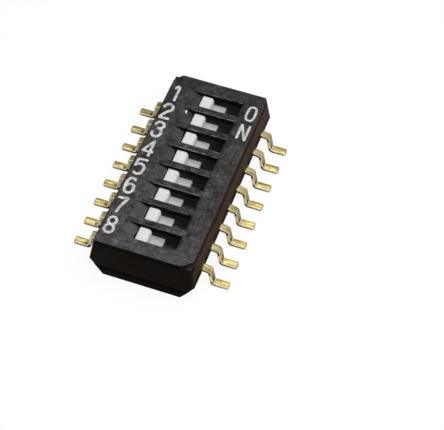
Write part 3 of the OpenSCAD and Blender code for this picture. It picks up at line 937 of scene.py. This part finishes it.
def mark_mesh(mark, at):
    """Solid film of ink: the strokes' outline on a fine grid, thinner towards a slightly ragged edge."""
    pen, strokes = MARKS[mark]
    nx, ny = round(2 * INK_HALF_X / INK_CELL), round(2 * INK_HALF_Y / INK_CELL)
    gx, gy = np.meshgrid(np.linspace(-INK_HALF_X, INK_HALF_X, nx + 1),
                         np.linspace(-INK_HALF_Y, INK_HALF_Y, ny + 1))
    far = np.full(gx.shape, np.inf)
    for stroke in strokes:
        for (ax, ay), (bx, by) in zip(stroke, stroke[1:]):
            dx, dy = bx - ax, by - ay
            t = np.clip(((gx - ax) * dx + (gy - ay) * dy) / max(dx * dx + dy * dy, 1e-9), 0, 1)
            far = np.minimum(far, np.hypot(gx - ax - t * dx, gy - ay - t * dy))
    inside = pen / 2 - far
    for j in range(ny + 1):
        for i in range(nx + 1):
            spot = Vector((gx[j, i] + at[0], gy[j, i] + at[1], 0.0))
            for depth, waves in INK_RAGGED:
                inside[j, i] += depth * noise.noise(spot * waves)
    bm = bmesh.new()
    made = {}

    def vertex(key, x, y, depth):
        if key not in made:
            lift = INK_T * (INK_THIN + (1 - INK_THIN) * min(1.0, max(depth, 0.0) / INK_SLOPE))
            made[key] = bm.verts.new((at[0] + x, at[1] + y, TOP_Z + lift))
        return made[key]

    for j in range(ny):
        for i in range(nx):
            corners = ((i, j), (i + 1, j), (i + 1, j + 1), (i, j + 1))
            values = [inside[b, a] for a, b in corners]
            if max(values) <= 0:
                continue
            around = []
            for k in range(4):
                (a, b), (c, d) = corners[k], corners[(k + 1) % 4]
                v, w = values[k], values[(k + 1) % 4]
                if v > 0:
                    around.append(vertex((a, b), gx[b, a], gy[b, a], v))
                if (v > 0) != (w > 0):
                    t = v / (v - w)
                    around.append(vertex((min((a, b), (c, d)), max((a, b), (c, d))),
                                         gx[b, a] + (gx[d, c] - gx[b, a]) * t,
                                         gy[b, a] + (gy[d, c] - gy[b, a]) * t, 0.0))
            if len(around) > 2:
                bm.faces.new(around)
    skin = bmesh.ops.extrude_face_region(bm, geom=list(bm.faces), use_keep_orig=True)
    for v in (g for g in skin["geom"] if isinstance(g, bmesh.types.BMVert)):
        v.co.z = TOP_Z - INK_SUNK
    return scaled(bm)


places = {str(i): (NUMERAL_X, row_y(i) - NUMERAL_DROP) for i in range(1, POSITIONS + 1)}
places["O"] = (WORD_X, WORD_Y[0])
places["N"] = (WORD_X, WORD_Y[1])
for mark, at in places.items():
    made = to_object(mark_mesh(mark, at), f"print_{mark}", INK_WHITE, PRINT_CREASE)
    stay(made, None, "housing")


# A fleck on the second ramp, and a dark speck beside it that is its painted shadow
SPECK_UNEVEN = 0.3
SPECK_WAVES = 2.1


def ramp_speck(name, centre, size, turn, material):
    """Flat uneven speck on a ramp, with its centre and half sizes in millimetres and its turn in degrees."""
    bm = bmesh.new()
    bmesh.ops.create_icosphere(bm, subdivisions=3, radius=1.0)
    for v in bm.verts:
        v.co *= 1 + SPECK_UNEVEN * noise.noise(v.co * SPECK_WAVES)
    bmesh.ops.scale(bm, vec=size, verts=bm.verts)
    bmesh.ops.rotate(bm, matrix=Matrix.Rotation(math.radians(turn), 3, "Z"), verts=bm.verts)
    bmesh.ops.rotate(bm, matrix=Matrix.Rotation(math.radians(RAMP_TILT), 3, "Y"), verts=bm.verts)
    bmesh.ops.translate(bm, vec=centre, verts=bm.verts)
    made = to_object(scaled(bm), name, material, SPECK_CREASE)
    stay(made, None, "housing")


ramp_speck("ramp_fleck", centre=(-1.13, 3.50, 2.265), size=(0.06, 0.11, 0.045), turn=20, material=FLECK_WHITE)
# painted shadow of the fleck, as a dark speck
ramp_speck("ramp_fleck_shadow", centre=(-1.02, 3.26, 2.205), size=(0.06, 0.075, 0.02), turn=0, material=COVER_RIM)


# Floor, world, lamps, camera
def surroundings(tree):
    """Light Path outputs: 1 for camera rays, and 1 for glossy and transmission rays."""
    path = tree.nodes.new("ShaderNodeLightPath")
    mirror = tree.nodes.new("ShaderNodeMath")
    mirror.operation = "MAXIMUM"
    tree.links.new(path.outputs["Is Glossy Ray"], mirror.inputs[0])
    tree.links.new(path.outputs["Is Transmission Ray"], mirror.inputs[1])
    return path.outputs["Is Camera Ray"], mirror.outputs[0]


def joined(tree, kind, first, second, factor=None):
    """Adds or mixes two shaders: a factor of 1 gives the second."""
    made = tree.nodes.new(kind)
    shift = 0
    if factor is not None:
        tree.links.new(factor, made.inputs[0])
        shift = 1
    tree.links.new(first, made.inputs[shift])
    tree.links.new(second, made.inputs[shift + 1])
    return made.outputs[0]


def surface(tree, kind, colour, strength=None):
    """Grey shader of a kind."""
    made = tree.nodes.new(kind)
    made.inputs["Color"].default_value = (colour, colour, colour, 1)
    if strength is not None:
        made.inputs["Strength"].default_value = strength
    return made.outputs[0]


# The camera sees the floor white with a faint shadow, mirrors see it white and fully shaded
FLOOR_SHADE = 0.12
FLOOR_BOUNCE = 0.18
FLOOR_WHITE = 1.03
FLOOR_MIRRORED = 0.9
FLOOR_HALF = 600
floor_white = bpy.data.materials.new("floor_white")
floor_white.use_nodes = True
tree = floor_white.node_tree
tree.nodes.clear()
camera_ray, mirror_ray = surroundings(tree)
dim = surface(tree, "ShaderNodeBsdfDiffuse", FLOOR_BOUNCE)
lit = joined(tree, "ShaderNodeAddShader", surface(tree, "ShaderNodeBsdfDiffuse", FLOOR_SHADE),
             surface(tree, "ShaderNodeEmission", 1, FLOOR_WHITE - FLOOR_SHADE))
shown = joined(tree, "ShaderNodeMixShader", dim, lit, camera_ray)
shown = joined(tree, "ShaderNodeMixShader", shown,
               surface(tree, "ShaderNodeBsdfDiffuse", FLOOR_MIRRORED), mirror_ray)
out = tree.nodes.new("ShaderNodeOutputMaterial")
tree.links.new(shown, out.inputs["Surface"])

bm = bmesh.new()
bmesh.ops.create_grid(bm, x_segments=4, y_segments=4, size=FLOOR_HALF * MM)
mesh = bpy.data.meshes.new("floor")
bm.to_mesh(mesh)
bm.free()
mesh.materials.append(floor_white)
floor = bpy.data.objects.new("floor", mesh)
bpy.context.scene.collection.objects.link(floor)

# The world is white to the camera, and to mirrors it is white low down and dimmer overhead
WORLD_LIGHT = 0.22
WORLD_FADE = ((0.08, 1.0), (0.35, 0.55))
scene = bpy.context.scene
world = bpy.data.worlds.new("studio")
scene.world = world
world.use_nodes = True
tree = world.node_tree
tree.nodes.clear()
camera_ray, mirror_ray = surroundings(tree)
heading = tree.nodes.new("ShaderNodeTexCoord")
split = tree.nodes.new("ShaderNodeSeparateXYZ")
fade = tree.nodes.new("ShaderNodeValToRGB")
for element, (at, grey) in zip(fade.color_ramp.elements, WORLD_FADE):
    element.position = at
    element.color = (grey, grey, grey, 1)
dome = tree.nodes.new("ShaderNodeBackground")
tree.links.new(heading.outputs["Generated"], split.inputs[0])
tree.links.new(split.outputs["Z"], fade.inputs["Fac"])
tree.links.new(fade.outputs["Color"], dome.inputs["Color"])
shown = joined(tree, "ShaderNodeMixShader", surface(tree, "ShaderNodeBackground", 1, WORLD_LIGHT),
               dome.outputs[0], mirror_ray)
shown = joined(tree, "ShaderNodeMixShader", shown, surface(tree, "ShaderNodeBackground", 1, 1.0), camera_ray)
out = tree.nodes.new("ShaderNodeOutputWorld")
tree.links.new(shown, out.inputs["Surface"])


def softbox(name, place, size, radiance):
    """Square area lamp that faces the origin, with its place and size in millimetres.

    A radiance of 1 is the brightness of a white surface."""
    lamp = bpy.data.lights.new(name, "AREA")
    lamp.shape = "SQUARE"
    lamp.size = size * MM
    lamp.energy = radiance * math.pi * lamp.size ** 2
    made = bpy.data.objects.new(name, lamp)
    made.location = Vector(place) * MM
    made.rotation_euler = made.location.to_track_quat("Z", "Y").to_euler()
    made.visible_camera = False
    scene.collection.objects.link(made)
    return made


softbox("key", place=(22, -6, 60), size=58, radiance=2.7).visible_glossy = False
softbox("sheen", place=(-7, 17, 35), size=19, radiance=1.3)
softbox("front", place=(-8, -42, 30), size=22, radiance=1.5).visible_diffuse = False

camera = bpy.data.cameras.new("camera")
camera.lens = CAMERA_LENS
camera.sensor_width = CAMERA_SENSOR
camera.sensor_fit = "HORIZONTAL"
camera.clip_start, camera.clip_end = CAMERA_CLIP
eye = bpy.data.objects.new("camera", camera)
at, to = Vector(CAMERA_AT), Vector(CAMERA_TO)
ahead = (to - at).normalized()
right = ahead.cross(Vector((0, 0, 1))).normalized()
up = right.cross(ahead)
roll = math.radians(CAMERA_ROLL)
right, up = right * math.cos(roll) + up * math.sin(roll), up * math.cos(roll) - right * math.sin(roll)
eye.matrix_world = Matrix.Translation(at * MM) @ Matrix((right, up, -ahead)).transposed().to_4x4()
scene.collection.objects.link(eye)
scene.camera = eye
scene.view_settings.view_transform = "Standard"
